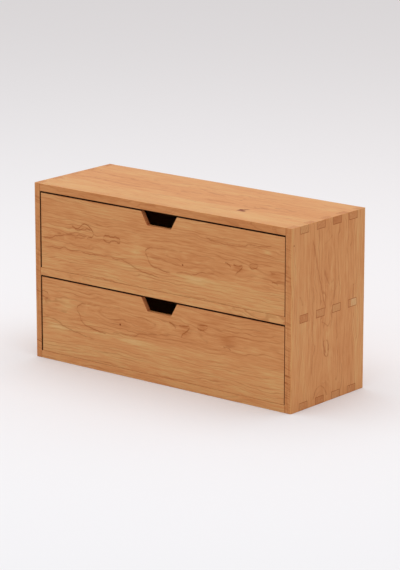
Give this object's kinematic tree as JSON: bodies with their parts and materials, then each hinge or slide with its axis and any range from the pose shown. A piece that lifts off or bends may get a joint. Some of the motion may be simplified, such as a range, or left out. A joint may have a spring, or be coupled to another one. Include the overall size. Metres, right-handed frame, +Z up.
{
  "type": "mini drawer cabinet",
  "caption": "Low wooden tabletop cabinet with through-tenoned corners and inset drawers, stacked, each pulled by a finger notch in its front.",
  "frame": {"origin": "centre of the underside", "axes": "+X along the cabinet's width, to the right seen from the front; +Y from the front to the back; +Z up"},
  "size_m": [0.52, 0.186, 0.289],
  "materials": {
    "carcass_wood": "satin oiled cherry",
    "front_wood": "satin oiled cherry",
    "drawer_wood": "sanded cherry",
    "panel_wood": "sanded cherry plywood",
    "stop_wood": "sanded cherry",
    "pin_wood": "end grain of dark pins",
    "brass": "brushed"
  },
  "bodies": {
    "carcass": {"left_side": "carcass_wood", "right_side": "carcass_wood", "top_panel": "carcass_wood", "bottom_panel": "carcass_wood", "divider": "carcass_wood", "back_panel": "panel_wood", "back_screws": "brass", "lower_left_stop": "stop_wood", "lower_right_stop": "stop_wood", "upper_left_stop": "stop_wood", "upper_right_stop": "stop_wood"},
    "lower_drawer": {"lower_drawer_front": "front_wood", "lower_drawer_left_side": "drawer_wood", "lower_drawer_right_side": "drawer_wood", "lower_drawer_back": "drawer_wood", "lower_drawer_bottom": "panel_wood", "lower_drawer_pins": "pin_wood", "lower_drawer_screws": "brass"},
    "upper_drawer": {"upper_drawer_front": "front_wood", "upper_drawer_left_side": "drawer_wood", "upper_drawer_right_side": "drawer_wood", "upper_drawer_back": "drawer_wood", "upper_drawer_bottom": "panel_wood", "upper_drawer_pins": "pin_wood", "upper_drawer_screws": "brass"}
  },
  "joints": [
    {"name": "lower_drawer_slide", "type": "slide", "parent": "carcass", "child": "lower_drawer", "axis": [0, -1, 0], "range_m": [0, 0.14]},
    {"name": "upper_drawer_slide", "type": "slide", "parent": "carcass", "child": "upper_drawer", "axis": [0, -1, 0], "range_m": [0, 0.14]}
  ]
}
